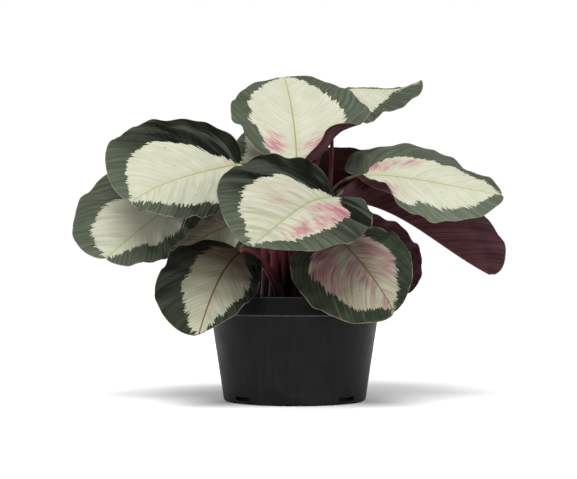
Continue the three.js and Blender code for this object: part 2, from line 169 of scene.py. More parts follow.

# The leaves, as in the part's source, with the colours' places added. The left halves of far_right
# and far_low are wider here, to close two small gaps seen from the front.
# cream: how much of each half is cream, left and right, at even stations from base to tip.
# pink: flushes as (s, v, length, width, strength). age: 0 fresh to 1 dull along the leaf, partly
# the leaf's own age and partly painted shade on leaves that lie in others' shade. rib_red: 0 pale to 1
# red-brown.
# deep: how far each half's green margin goes to near black as painted shade; below 0, how far it goes
# to a paler painted sheen. gloom: how far the whole leaf is darkened by painted shade from the leaves over
# it.
# creased: how strong the painted grey shade in the furrows is. sweep: how far each half's side veins run
# forward. ripple: how deep the soft folds between the veins are. dim: how dark the stalk is.
LEAVES = [
    dict(name="top", rib=[[2, -5, 218], [2, 30, 249], [-4, 75, 296], [-11, 110, 316]], face=[[0, -0.55,
        0.83], [0, -0.7, 0.7]], half=([44, 46, 48, 51, 60, 63, 66, 65, 64], [60, 64, 76, 69, 74]), fold=(5,
        8), curl=([-30, -10, -10], -15), turn=(0, [150, 118, 25, 0, 0, 0, 0]), lobe=(0, 4), brow=(6, 3),
        phase=0, root=[1, 3], stem=[70, 40], cream=([0.55, 0.68, 0.71, 0.72, 0.7, 0.69, 0.64, 0.48], [0.9,
        0.88, 0.74, 0.68, 0.61, 0.57, 0.54, 0.28]), pink=[(0.22, -0.5, 0.12, 0.3, 0.72), (0.17, 0.32, 0.12,
        0.32, 0.62), (0.5, 0.45, 0.3, 0.25, 0.16), (0.5, -0.5, 0.3, 0.2, 0.14)], rib_red=0.12, creased=0.08,
        sweep=3.6),
    dict(name="top_right", rib=[[40, 102, 295], [60, 116, 317], [97, 122, 293], [130, 128, 315.5]], face=[[0,
        -0.75, 0.66], [0, -0.75, 0.66]], half=([18, 15, 14, 14, 14], [66, 60, 55, 38, 34, 46]), fold=(-35,
        0), curl=(-20, 0), lobe=(4, 20), phase=0.37, root=[10, 9], lean=[38, 14], stem=[113, 14], cream=(0,
        [0.8, 0.78, 0.74, 0.68, 0.55, 0.12, 0, 0]), pink=[(0.35, 0.3, 0.3, 0.5, 0.15)], rib_red=0.2,
        dim=0.35, deep=(0, [0.9, 0.25, 0, 0, 0, 0])),
    dict(name="left_high", rib=[[-50, 15, 221], [-77, 5, 214], [-116, -25, 206], [-146, -55, 181]], face=[[0,
        -0.85, 0.5], [0, -0.6, 0.8]], half=([51, 50, 48, 56, 60], [54, 64, 78, 92, 80]), fold=(5, 12),
        curl=(-40, -10), lobe=(4, 11), brow=(9, 8), phase=0.74, root=[-11, 1], stem=[67, 47], cream=([0.3,
        0.66, 0.78, 0.74, 0.68, 0.3], [0.05, 0.24, 0.48, 0.66, 0.6, 0.35]), pink=[(0.14, 0.16, 0.07, 0.14,
        0.35)], age=0.04, rib_red=0, creased=0.45, ripple=2.1, deep=([0.6, 0.5, 0.8, 0.7, 0.2, 0], [1.6, 1.6,
        1.4, 0.75, 0.05, -0.2])),
    dict(name="left_low", rib=[[-86, 20, 196], [-122, 11, 181], [-143, -4, 159], [-171, -34, 131]],
        face=[[-0.1, -0.8, 0.6], [-0.1, -0.8, 0.6]], half=([38, 36, 37, 50, 58], [70, 70, 71, 76, 98]),
        fold=(5, 10), curl=(-20, -10), lobe=(2, 5), brow=(7, 16), phase=0.11, root=[-26, 4], stem=[100, 45],
        cream=([0.4, 0.55, 0.78, 0.68, 0.4, 0.25], [0.1, 0.2, 0.35, 0.64, 0.68, 0.5]), pink=[(0.34, -0.36,
        0.12, 0.3, 0.45), (0.5, 0.3, 0.1, 0.2, 0.2)], age=[0.5, 0.3, 0.14, 0.08, 0.05, 0], rib_red=0.1,
        creased=0.5, ripple=2.6, deep=([0.2, 0.1, 0, 0, 0, 0], [0.6, 0.5, 0.3, 0.1, 0, 0])),
    dict(name="front", rib=[[39, -28, 184], [14, -60, 191], [-9, -95, 162], [-36, -128, 140]], face=[[0,
        -0.7, 0.7], [0, -0.75, 0.65]], half=([46, 62, 70, 80, 76], [81, 66, 67, 78, 74]), fold=([50, 20, 18,
        18, 18], 26), curl=-20, lobe=(8, 16), brow=(1, 12), phase=0.48, root=[6, -9], stem=[48, 34],
        cream=([0.1, 0.4, 0.66, 0.64, 0.58, 0.1], [0.05, 0.2, 0.6, 0.67, 0.62, 0.42]), pink=[(0.38, -0.42,
        0.1, 0.3, 1.15), (0.52, -0.46, 0.16, 0.26, 0.72), (0.74, -0.36, 0.13, 0.22, 0.68), (0.5, 0.3, 0.2,
        0.28, 0.3), (0.66, 0.5, 0.12, 0.2, 0.2)], age=0.1, rib_red=0.1, creased=0.8, sweep=(1.6, 2.8),
        ripple=1.5, deep=([1.6, 1.6, 1.3, 0.6, 0.05, -0.2], [1.6, 1.6, 1.5, 0.9, 0.08, -0.3])),
    dict(name="right_high", rib=[[61, 10, 209], [93, 0, 212], [139, -10, 198], [188, -30, 189]], face=[[0,
        -0.6, 0.8], [0, -0.6, 0.8]], half=([72, 76, 81, 53, 64], [41, 44, 47, 59, 60]), fold=([-20, -8, -1,
        0, 0, 0, 0], 0), curl=([0, -20, -10], -20), turn=(0, [140, 90, 0, 0, 0]), lobe=(34, 0), brow=(0, 12),
        phase=0.85, root=[15, 0], stem=[60, 42], thick=2.1, cream=([0.1, 0.5, 0.6, 0.52, 0.54, 0.74, 0.66,
        0.2], [0.95, 0.86, 0.78, 0.8, 0.69, 0.71, 0.62, 0.2]), pink=[(0.17, -0.36, 0.11, 0.24, 0.72), (0.34,
        -0.36, 0.16, 0.15, 0.52), (0.28, 0.5, 0.18, 0.34, 0.42), (0.02, -0.7, 0.05, 0.3, 0.4)], rib_red=0,
        creased=0.3, dim=0.8, deep=([0.6, 0.15, 0.1, 0.2, 0.25, 0.1], [0.3, 0.1, -0.1, -0.5, -0.5, -0.2])),
    dict(name="right_low", rib=[[46, 25, 187], [100, 30, 185], [138, 30, 140], [185, 25, 116]], face=[[0.3,
        0.5, 0.8], [0.5, 0.4, 0.77]], half=(46, [40, 50, 68]), fold=(65, 75), brow=(0, 18), phase=0.22,
        root=[22, 7], stem=[49, 22], cream=[0.3, 0.6, 0.7, 0.7, 0.6, 0.3], pink=[(0.3, 0.4, 0.2, 0.3, 0.6)],
        age=0.2, rib_red=0.3, ripple=2.4),
    dict(name="low_left", rib=[[-48, -35, 137], [-62, -60, 127], [-72, -90, 103], [-82, -105, 65]],
        face=[[-0.1, -0.75, 0.65], [-0.1, -0.9, 0.4]], half=([38, 33, 36, 37, 35], [60, 62, 56, 62, 66]),
        curl=-10, lobe=(6, 18), brow=(-1, 8), phase=0.59, root=[-13, -15], stem=[24, 18], cream=([0.25, 0.5,
        0.74, 0.74, 0.62, 0.5], [0.6, 0.58, 0.54, 0.53, 0.46, 0.5]), pink=[(0.16, 0.3, 0.12, 0.4, 0.6),
        (0.25, -0.3, 0.2, 0.3, 0.4), (0.7, -0.1, 0.15, 0.15, 0.3)], age=[0.9, 0.9, 0.85, 0.75, 0.55, 0.45],
        rib_red=1, deep=0.7, gloom=[0.97, 0.93, 0.78, 0.52, 0.22, 0.02], creased=0.5),
    dict(name="low_right", rib=[[39, -34, 149], [49, -54, 140], [72, -89, 112], [85, -104, 84]], face=[[0,
        -0.75, 0.65], [0, -0.9, 0.4]], half=([44, 48, 46, 43, 42], [70, 60, 61, 62, 61]), curl=-10, lobe=(16,
        18), brow=(0, 10), phase=0.96, root=[13, -17], stem=[31, 22], cream=([0.5, 0.58, 0.64, 0.58, 0.5,
        0.25], [0.5, 0.64, 0.72, 0.67, 0.66, 0.15]), pink=[(0.25, 0.48, 0.16, 0.26, 1), (0.45, 0.6, 0.18,
        0.26, 0.95), (0.34, -0.3, 0.18, 0.36, 0.95), (0.58, -0.42, 0.18, 0.28, 0.85), (0.62, 0.14, 0.2, 0.12,
        0.7), (0.9, 0.12, 0.12, 0.2, 0.7), (0.14, 0, 0.16, 0.6, 0.8), (0.45, 0, 0.5, 1.1, 0.45)], age=0.9,
        rib_red=0.8, deep=0.45, gloom=[0.5, 0.1, 0, 0, 0, 0], creased=0.6, sweep=(4.2, 5.5)),
    dict(name="right_under", rib=[[41, 10, 162], [67, 25, 151], [100, 40, 123], [109, 45, 98]], face=[[0.4,
        0.8, 0.4], [0.6, 0.7, 0.2]], half=(42, 44), curl=-10, phase=0.33, root=[25, -4], stem=[37, 26],
        cream=[0.4, 0.6, 0.66, 0.66, 0.6, 0.3], pink=[(0.3, 0.3, 0.2, 0.3, 0.6)], age=0.3, rib_red=0.4),
    dict(name="left_mid", rib=[[-45, 6, 166], [-68, 10, 164], [-93, 12, 150], [-118, 5, 126]], face=[[0,
        -0.8, 0.6], [-0.2, -0.9, 0.4]], half=(38, 30), curl=-10, phase=0.7, root=[-19, -6], stem=[43, 30],
        cream=[0.6, 0.8, 0.85, 0.8, 0.7, 0.3], pink=[(0.4, 0.3, 0.3, 0.4, 0.4)], age=0.9, rib_red=0.6,
        gloom=0.05),
    dict(name="back_left", rib=[[-9, 30, 202], [-19, 50, 222], [-32, 80, 239], [-50, 115, 261]], face=[[0,
        -0.6, 0.8], [-0.1, -0.7, 0.7]], half=(46, 32), fold=5, curl=-10, phase=0.07, root=[-8, 9], stem=[57,
        40], cream=([0.5, 0.6, 0.62, 0.48, 0.3, 0.1], [0.5, 0.6, 0.62, 0.6, 0.5, 0.3]), pink=[(0.3, 0.3, 0.3,
        0.4, 0.5)], age=0.2, rib_red=0.2),
    dict(name="back_right", rib=[[31, 80, 242], [35, 93, 240], [45, 113, 225], [52, 126, 200]], face=[[0,
        0.5, 0.85], [0, 0.8, 0.5]], half=(50, [10, 42, 50, 50, 50]), fold=-5, curl=-10, lobe=(4, 0),
        phase=0.44, root=[5, 17], lean=[6, 8], stem=[95, 25], cream=[0.4, 0.62, 0.7, 0.68, 0.6, 0.3],
        pink=[(0.3, 0.3, 0.2, 0.3, 0.7)], age=0.1, rib_red=0.2),
    dict(name="far_high", rib=[[-3, 50, 190], [-8, 78, 204], [-18, 110, 198], [-22, 132, 165]], face=[[0,
        0.3, 0.95], [0, 0.7, 0.7]], half=(50, 42), curl=-15, phase=0.81, root=[-1, 17], stem=[74, 51],
        cream=([0.3, 0.6, 0.7, 0.68, 0.6, 0.3], [0.2, 0.5, 0.62, 0.7, 0.6, 0.3]), pink=[(0.25, 0.35, 0.18,
        0.3, 0.9), (0.6, -0.2, 0.15, 0.2, 0.5)], age=0.1, rib_red=0.1),
    dict(name="far_left", rib=[[-35, 40, 185], [-65, 65, 200], [-105, 95, 190], [-140, 120, 150]], face=[[0,
        0.3, 0.95], [-0.4, 0.5, 0.8]], half=48, curl=-15, phase=0.18, root=[-16, 15], stem=[48, 34],
        cream=([0.25, 0.5, 0.64, 0.7, 0.64, 0.3], [0.3, 0.6, 0.7, 0.66, 0.6, 0.3]), pink=[(0.3, -0.3, 0.2,
        0.3, 0.7)], age=0.2, rib_red=0.1),
    dict(name="far_low_left", rib=[[-32, 36, 150], [-48, 66, 160], [-72, 98, 140], [-90, 122, 100]],
        face=[[0, 0.3, 0.95], [-0.2, 0.7, 0.7]], half=44, curl=-15, phase=0.55, root=[-10, 24], stem=[31,
        22], cream=([0.4, 0.6, 0.68, 0.66, 0.6, 0.35], [0.3, 0.6, 0.66, 0.7, 0.6, 0.3]), pink=[(0.3, 0.3,
        0.25, 0.4, 0.9), (0.6, -0.3, 0.2, 0.3, 0.7)], age=0.45, rib_red=0.8),
    dict(name="far_low_right", rib=[[26, 42, 146], [46, 68, 158], [70, 100, 138], [92, 126, 96]], face=[[0,
        0.3, 0.95], [0.3, 0.6, 0.7]], half=44, curl=-15, phase=0.92, root=[15, 25], stem=[31, 14],
        cream=([0.3, 0.55, 0.66, 0.68, 0.6, 0.3], [0.4, 0.62, 0.7, 0.66, 0.6, 0.3]), pink=[(0.2, 0, 0.15,
        0.4, 0.6)], age=0.45, rib_red=0.6),
    dict(name="far_right", rib=[[48, 71, 201], [70, 89, 216], [100, 105, 216], [135, 116, 194]], face=[[0,
        0.2, 0.95], [0.2, 0.4, 0.9]], half=([64, 62, 49, 44, 44], 44), curl=-15, phase=0.29, root=[25, 16],
        lean=[1, 6], stem=[92, 20], cream=([0.3, 0.6, 0.7, 0.68, 0.64, 0.3], [0.3, 0.5, 0.66, 0.7, 0.62,
        0.3]), pink=[(0.3, 0.4, 0.15, 0.25, 0.8)], age=0.1, rib_red=0.1),
    dict(name="far_low", rib=[[-3, 42, 132], [-4, 68, 143], [-6, 98, 124], [-8, 122, 84]], face=[[0, 0.3,
        0.95], [0, 0.7, 0.6]], half=([40, 44, 50, 66, 74], [40, 44, 50, 60, 62]), curl=-15, phase=0.63,
        root=[-3, 31], stem=[24, 16], cream=[0.4, 0.6, 0.66, 0.66, 0.6, 0.3], pink=[(0.4, 0.3, 0.3, 0.4,
        0.9)], age=0.4, rib_red=0.5, gloom=0.6),
]


# --- The leaves' surface
def unit(a):
    a = np.asarray(a, float)
    return a / np.maximum(np.linalg.norm(a, axis=-1, keepdims=True), 1e-12)


def ease(x):
    return x * x * (3 - 2 * x)


def ramp(x, low, high):
    return ease(np.clip((x - low) / (high - low), 0, 1))


def bump(x, wide):
    return np.exp(-((x / wide) ** 2))


def along(values, s):
    """A value that changes along the leaf: one number, or numbers at even stations."""
    values = np.atleast_1d(np.asarray(values, float))
    if len(values) == 1:
        return np.full_like(s, values[0])
    x = s * (len(values) - 1)
    k = np.minimum(x.astype(int), len(values) - 2)
    t = ease(x - k)
    return values[k] * (1 - t) + values[k + 1] * t


def side_value(leaf, key, s, v, default=0.0):
    """A value of the leaf that may differ in its left and right halves."""
    value = leaf.get(key, default)
    left_half, right_half = value if isinstance(value, tuple) else (value, value)
    return np.where(v >= 0, along(right_half, s), along(left_half, s))


def bezier(p, s):
    s = np.asarray(s, float)[..., None]
    p = np.asarray(p, float)
    q = 1 - s
    return q**3 * p[0] + 3 * q * q * s * p[1] + 3 * q * s * s * p[2] + s**3 * p[3]


def bezier_slope(p, s):
    s = np.asarray(s, float)[..., None]
    step = 3 * np.diff(p, axis=0)
    q = 1 - s
    return q * q * step[0] + 2 * q * s * step[1] + s * s * step[2]


def leaf_frame(leaf, s):
    """The midrib's point and the ways ahead, to the right and up out of the blade."""
    point = bezier(leaf["rib"], s)
    ahead = unit(bezier_slope(leaf["rib"], s))
    t = ease(np.asarray(s, float))[..., None]
    face = unit(unit(leaf["face"][0]) * (1 - t) + unit(leaf["face"][1]) * t)
    side = unit(np.cross(ahead, face))
    return point, ahead, side, np.cross(side, ahead)


def half_wide(leaf, s, v):
    swell = np.maximum(0, np.sin(np.pi * s**BELLY))
    bulge = swell ** (BASE_ROUND + (TIP_POINT - BASE_ROUND) * s)
    least = BASE_HALF_WIDE * (1 - s) + TIP_HALF_WIDE * s
    return np.maximum(least, bulge * side_value(leaf, "half", s, v))


def vein_row(leaf, s, v):
    """The place on the midrib that a point's side vein comes from."""
    bend = np.abs(v) ** VEIN_BEND
    sweep = side_value(leaf, "sweep", s, v, VEIN_SWEEP)
    return s * (1 - bend) + s**sweep * bend


def blade_point(leaf, s, v):
    """The blade's middle surface: s from base to tip, v from -1 at the left edge to 1."""
    point, ahead, side, up = leaf_frame(leaf, s)
    sign = np.where(v >= 0, 1.0, -1.0)
    out = np.abs(v)
    wide = half_wide(leaf, s, v)
    fold, curl, turn = (np.radians(side_value(leaf, k, s, v)) for k in ("fold", "curl", "turn"))
    across = np.zeros_like(out)
    rise = np.zeros_like(out)
    for k in range(CURVE_STEPS):
        at = out * (k + 0.5) / CURVE_STEPS
        angle = fold + curl * at + turn * ramp(at, TURN_FROM, TURN_FROM + TURN_OVER)
        across += np.cos(angle) * out / CURVE_STEPS
        rise += np.sin(angle) * out / CURVE_STEPS
    phase = leaf["phase"]
    slow = np.sin(2 * np.pi * (EDGE_WAVES * s + phase + 0.31 * sign))
    quick = np.sin(2 * np.pi * (EDGE_WAVES * 1.9 * s + 2.3 * phase - 0.17 * sign))
    fade = np.sqrt(np.maximum(0, np.sin(np.pi * s)))
    wave = EDGE_WAVE_HIGH * out**2.5 * fade * (slow + 0.5 * quick)
    reach = EDGE_REACH * out * out
    lobe = side_value(leaf, "lobe", s, v, EDGE_LOBE) * reach * (1 - s) ** 3 * np.sqrt(s)
    brow = side_value(leaf, "brow", s, v) * reach * s**3 * np.sqrt(1 - s)
    return (point + side * (sign * across * wide)[..., None]
            + up * (rise * wide + wave)[..., None] + ahead * (brow - lobe)[..., None])


def blade_normal(leaf, s, v):
    """The way out of the blade's upper side, from the points a little round each point."""
    d = 0.012
    s = np.clip(s, 0.015, 0.985)
    lead = blade_point(leaf, s + d, v) - blade_point(leaf, s - d, v)
    near = np.where(v == 0, -5 * d, v - d * np.sign(v))
    far = np.where(v == 0, 5 * d, v)
    wing = blade_point(leaf, s, far) - blade_point(leaf, s, near)
    wing = np.where((v < 0)[..., None], -wing, wing)
    return unit(np.cross(wing, lead))


def run_along(points):
    """How far along the line of points each point lies."""
    return np.concatenate([[0], np.cumsum(np.linalg.norm(np.diff(points, axis=0), axis=1))])


# --- Mesh helpers
def new_object(name, points_mm, faces, materials, slots=None):
    """A smooth mesh object from points in millimetres and faces of any size."""
    mesh = bpy.data.meshes.new(name)
    points = np.asarray(points_mm, np.float32) * MM
    mesh.from_pydata(points.tolist(), [], [face.tolist() for face in faces], shade_flat=False)
    for material in materials:
        mesh.materials.append(material)
    if slots is not None:
        mesh.polygons.foreach_set("material_index", slots)
    mesh.validate()
    return linked(bpy.data.objects.new(name, mesh))


def linked(thing):
    bpy.context.scene.collection.objects.link(thing)
    return thing


def quads(index):
    """The quads between the rows and columns of a grid of point numbers."""
    corners = [index[:-1, :-1], index[:-1, 1:], index[1:, 1:], index[1:, :-1]]
    return np.stack(corners, -1).reshape(-1, 4)


def tube_quads(index):
    """The quads of a grid whose last column joins its first."""
    return quads(np.concatenate([index, index[:, :1]], 1))


def turned_over(faces):
    return faces[:, [0, 3, 2, 1]]


def weld(piece, distance_m):
    """Joins points that lie together, drops loose ones and turns every face outwards."""
    mesh = bmesh.new()
    mesh.from_mesh(piece.data)
    bmesh.ops.remove_doubles(mesh, verts=mesh.verts, dist=distance_m)
    loose = [v for v in mesh.verts if not v.link_faces]
    bmesh.ops.delete(mesh, geom=loose, context="VERTS")
    bmesh.ops.recalc_face_normals(mesh, faces=mesh.faces)
    mesh.to_mesh(piece.data)
    mesh.free()


def add_field(piece, name, values):
    """A vector for each vertex, for the piece's material to read."""
    field = piece.data.attributes.new(name, "FLOAT_VECTOR", "POINT")
    field.data.foreach_set("vector", np.asarray(values, np.float32).ravel())


def declare(piece, slot, *nodes):
    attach(piece, "root")
    if nodes:
        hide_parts(*nodes)


def smooth_noise(x, y, seed, octaves=4):
    """Seeded value noise of two coordinates, about -1 to 1."""
    total = np.zeros_like(x)
    rng = np.random.default_rng(seed)
    size = 64
    for octave in range(octaves):
        table = rng.uniform(-1, 1, (size, size))
        shift = rng.uniform(0, size, 2)
        u = x * 2.1**octave + shift[0]
        w = y * 2.1**octave + shift[1]
        i = np.floor(u).astype(int)
        j = np.floor(w).astype(int)
        a = ease(u - i)
        b = ease(w - j)
        near, far = (table[i % size, k % size] * (1 - a) + table[(i + 1) % size, k % size] * a
                     for k in (j, j + 1))
        total += 0.5**octave * (near * (1 - b) + far * b)
    return total


# --- Material helpers
def arithmetic(operation):
    return lambda value, other: value.look.math(operation, value, other)


class Value:
    """One output of a look's nodes, with plain arithmetic."""

    __add__ = arithmetic("ADD")
    __sub__ = arithmetic("SUBTRACT")
    __mul__ = arithmetic("MULTIPLY")
    __truediv__ = arithmetic("DIVIDE")

    def __init__(self, look, socket):
        self.look = look
        self.socket = socket

    def between(self, low, high, to_low=0.0, to_high=1.0):
        """Eases from to_low to to_high while the value goes from low to high."""
        inputs = dict(enumerate((self, low, high, to_low, to_high)))
        return self.look.node("MapRange", inputs, interpolation_type="SMOOTHSTEP")


class Look:
    """The nodes of a new material or of the world."""

    def __init__(self, name, world=None):
        self.owner = world or bpy.data.materials.new(name)
        self.owner.use_nodes = True
        self.tree = self.owner.node_tree
        self.tree.nodes.clear()
        shader, out = ("Background", "OutputWorld") if world else ("BsdfPrincipled", "OutputMaterial")
        self.shader = self.tree.nodes.new("ShaderNode" + shader)
        surface = self.tree.nodes.new("ShaderNode" + out).inputs["Surface"]
        self.tree.links.new(self.shader.outputs[0], surface)

    def fill(self, made, inputs):
        """Links or sets a node's inputs. Each is a value, a number, or a colour's three numbers."""
        for key, value in inputs.items():
            socket = made.inputs[key]
            if isinstance(value, Value):
                self.tree.links.new(value.socket, socket)
            else:
                socket.default_value = (*value, 1.0) if isinstance(value, tuple) else value

    def node(self, kind, inputs, output=0, **settings):
        """One output of a new node with these inputs and settings."""
        made = self.tree.nodes.new("ShaderNode" + kind)
        for key, value in settings.items():
            setattr(made, key, value)
        self.fill(made, inputs)
        return Value(self, made.outputs[output])

    def math(self, operation, *values, clamp=False):
        inputs = dict(enumerate(values))
        return self.node("Math", inputs, operation=operation, use_clamp=clamp)

    def mix(self, amount, a, b, blend="MIX"):
        inputs = {0: amount, 6: a, 7: b}
        return self.node("Mix", inputs, 2, data_type="RGBA", blend_type=blend)

    def tones(self, value, low, high, a, b):
        """Two colours, from a to b while the value goes from low to high."""
        return self.mix(value.between(low, high), a, b)

    def layers(self, colour, *coats):
        """Lays coats over a colour in turn. Each is a value, its levels where the coat starts and is
        full, the full coat's strength, and its colour."""
        for value, start, full, strength, coat in coats:
            colour = self.mix(value.between(start, full, 0.0, strength), colour, coat)
        return colour

    def vector(self, x, y, z):
        return self.node("CombineXYZ", {0: x, 1: y, 2: z})

    def noise(self, scale, detail=2.0, rough=0.5, where=None):
        inputs = {"Vector": where or self.place(), "Scale": scale, "Detail": detail, "Roughness": rough}
        return self.node("TexNoise", inputs, "Fac")

    def split(self, vector):
        made = self.tree.nodes.new("ShaderNodeSeparateXYZ")
        self.fill(made, {0: vector})
        return [Value(self, socket) for socket in made.outputs]

    def field(self, name):
        """The three numbers of a field that add_field made."""
        settings = dict(attribute_type="GEOMETRY", attribute_name=name)
        return self.split(self.node("Attribute", {}, "Vector", **settings))

    def place(self):
        return self.node("TexCoord", {}, "Object")

    def dress(self, colour, rough, height=None, deep_m=0.0, specular=0.5, strength=1.0):
        """The finished material, with its fine relief's height, and depth in metres."""
        inputs = {"Base Color": colour, "Roughness": rough, "Specular IOR Level": specular}
        if height is not None:
            relief = {"Strength": strength, "Distance": deep_m, "Height": height}
            inputs["Normal"] = self.node("Bump", relief)
        self.fill(self.shader, inputs)
        return self.owner


def vein_lines(row, wide):
    """1 on the side veins, 0 between them. row is the vein row in mm."""
    turns = row.look.math("FRACT", row / VEIN_GAP)
    off = row.look.math("ABSOLUTE", turns - 0.5) * VEIN_GAP
    return off.between(VEIN_CORE, wide, 1.0, 0.0)


def leaf_values(look, streaks):
    """What a leaf's look reads: the blade's fields, and noise drawn out along the side veins."""
    at = SimpleNamespace(cloud=look.noise(60.0, 3.0), patch=look.noise(24.0))
    for field, names in LEAF_FIELDS.items():
        for name, value in zip(names, look.field(field)):
            setattr(at, name, value)
    for name, (shift, gap, length, detail) in streaks.items():
        where = look.vector(at.row / gap, at.mid / length, (at.seed + shift) * SEED_SPREAD)
        setattr(at, name, look.noise(1.0, detail, where=where))
    return at


def cream_colour(look, at):
    """The centre: pale, streaked with olive, yellower by the midrib, with painted grey shade in the furrows,
    and duller with age and with painted shade on shaded leaves.
    """
    cream = look.tones(at.cloud, 0.3, 0.7, (0.39, 0.405, 0.31), (0.435, 0.44, 0.35))
    cream = look.layers(
        cream,
        (at.broad, 0.45, 0.75, 0.35, (0.355, 0.375, 0.25)),
        (at.hair, 0.46, 0.66, 0.35, (0.29, 0.295, 0.2)),
        (at.fine, 0.5, 0.7, 0.45, (0.48, 0.48, 0.405)),
        (at.grain, 0.54, 0.36, 0.28, (0.295, 0.305, 0.2)),
        (at.grain, 0.52, 0.66, 0.3, (0.48, 0.49, 0.4)))
    # Painted shade: grey in the furrows between the veins, where the folds turn from the light
    painted_crease_shade = at.crease.between(0.34, 0.52, 0.75, 0.0) * at.creased
    painted_crease_shade = painted_crease_shade * at.patch.between(0.38, 0.62, 0.25, 1.0)
    cream = look.mix(painted_crease_shade, cream, (0.245, 0.232, 0.165))
    near_rib = at.mid.between(1.0, 9.0, 0.45, 0.0) * at.s.between(0.0, 0.9, 1.0, 0.4)
    cream = look.mix(near_rib, cream, (0.33, 0.35, 0.19))
    # The dull cream: partly the older leaves' own colour, partly painted shade on leaves in others' shade
    dull_and_shaded = look.tones(at.broad, 0.35, 0.65, (0.166, 0.162, 0.1), (0.238, 0.234, 0.15))
    dull_and_shaded = look.layers(
        dull_and_shaded,
        (at.grain, 0.54, 0.36, 0.42, (0.098, 0.084, 0.052)),
        (at.grain, 0.52, 0.68, 0.42, (0.31, 0.302, 0.212)))
    return look.mix(at.age * at.hair.between(0.3, 0.7, 0.95, 0.65), cream, dull_and_shaded)


def flushed(look, at, cream):
    """Pink flushes over the cream, wide and uneven, made of streaks along the veins, and specks."""
    uneven = (at.mottle - 0.5) * 2.8 + (at.blotch - 0.5) * 2.4 + (at.fine - 0.5) * 1.4
    blush = at.pink + uneven * at.pink.between(0.0, 0.5, 0.1, 0.68)
    # The pinks go duller and darker with age, which also carries painted shade
    wash = look.mix(at.age, (0.375, 0.195, 0.198), (0.185, 0.105, 0.1))
    rose = look.mix(at.age, (0.295, 0.052, 0.098), (0.135, 0.033, 0.048))
    cream = look.layers(cream, (blush, 0.05, 0.8, 0.85, wash), (blush, 0.7, 1.35, 0.92, rose))
    violet = at.blotch.between(0.52, 0.68) * at.pink.between(0.2, 0.7, 0.0, 0.4)
    cream = look.mix(violet, cream, (0.23, 0.135, 0.165))
    speck = look.noise(300.0, 0.0)
    return look.layers(cream, (speck, 0.845, 0.87, 0.7, (0.13, 0.1, 0.05)))


def margin_colour(look, at):
    """The green margin: striped along the veins, partly its own streaks and partly painted pleat shade and
    sheen. It goes near black as painted shade, and paler as painted sheen where the shade value is below 0.
    """
    dark = look.tones(at.patch, 0.35, 0.65, (0.064, 0.077, 0.052), (0.083, 0.098, 0.067))
    # The stripes along the veins: partly the margin's own streaks, partly painted pleat shade and sheen
    dark = look.layers(
        dark,
        (at.stripe, 0.62, 0.36, 0.52, (0.03, 0.038, 0.024)),
        (at.fine, 0.5, 0.75, 0.4, (0.115, 0.132, 0.1)),
        (at.hair, 0.4, 0.7, 0.45, (0.034, 0.044, 0.028)))
    dark = look.mix(vein_lines(at.row, 1.1) * 0.3, dark, (0.01, 0.014, 0.007))
    # The aged margin: partly the older leaves' own darker green, partly painted shade on shaded leaves
    aged_and_shaded = look.tones(at.cloud, 0.35, 0.65, (0.007, 0.014, 0.005), (0.034, 0.05, 0.026))
    aged_and_shaded = look.layers(
        aged_and_shaded,
        (at.stripe, 0.62, 0.4, 0.5, (0.006, 0.01, 0.004)),
        (at.blotch, 0.55, 0.7, 0.5, (0.07, 0.088, 0.058)))
    dark = look.mix(at.age * 0.75, dark, aged_and_shaded)
    # Painted shade: the near-black margin, with painted sheen along its broad folds
    painted_black_shade = look.tones(at.stripe, 0.5, 0.7, (0.002, 0.003, 0.001), (0.01, 0.013, 0.006))
    painted_black_shade = look.layers(painted_black_shade, (at.broad, 0.56, 0.7, 0.55, (0.052, 0.062, 0.047)))
    # Painted sheen: a paler, greyer margin
    painted_sheen = look.tones(at.stripe, 0.34, 0.64, (0.105, 0.122, 0.09), (0.158, 0.18, 0.137))
    dark = look.mix(look.math("MULTIPLY", at.deep, -1.0, clamp=True), dark, painted_sheen)
    # How much painted shade is laid on, less along the broad sheen folds
    kept_shade = at.broad.between(0.42, 0.64, 1.0, 0.62)
    return look.mix(look.math("MULTIPLY", at.deep, kept_shade, clamp=True), dark, painted_black_shade)


def leaf_top_look():
    look = Look("leaf_top")
    at = leaf_values(look, TOP_STREAKS)
    # The cream ends in teeth drawn out along the veins
    edge = at.over + (at.broad - 0.5) * 8.0 + (at.tooth - 0.5) * 12.0 + (at.fine - 0.5) * 4.5
    green = edge.between(-0.3, 0.35)
    colour = look.mix(green, flushed(look, at, cream_colour(look, at)), margin_colour(look, at))
    # The midrib, and the thin pale line that the rim has in places
    line = look.mix(at.red, (0.245, 0.25, 0.095), (0.1, 0.03, 0.019))
    thin = at.s.between(0.0, 1.0, 1.0, 0.55) * (at.red * 0.7 + 1.0)
    colour = look.layers(colour, (at.mid / thin, 0.95, 0.35, 0.85, line))
    pale_edge = at.rim.between(0.25, 1.0, 0.85, 0.0) * at.cloud.between(0.4, 0.6, 0.15, 1.0)
    colour = look.mix(pale_edge, colour, (0.2, 0.165, 0.115))
    # Painted shade: the whole leaf darker where leaves over it shade it
    colour = look.mix(at.gloom, colour, look.mix(1.0, colour, (0.045, 0.02, 0.004), "MULTIPLY"))
    veins = vein_lines(at.row, 1.8) * -0.6 * at.over.between(-4.0, 4.0, 0.15, 1.0)
    height = veins + at.ridge * 0.9 + at.hair * 0.35
    return look.dress(colour, at.patch.between(0.3, 0.7, 0.36, 0.5), height, 0.0004, 0.05)


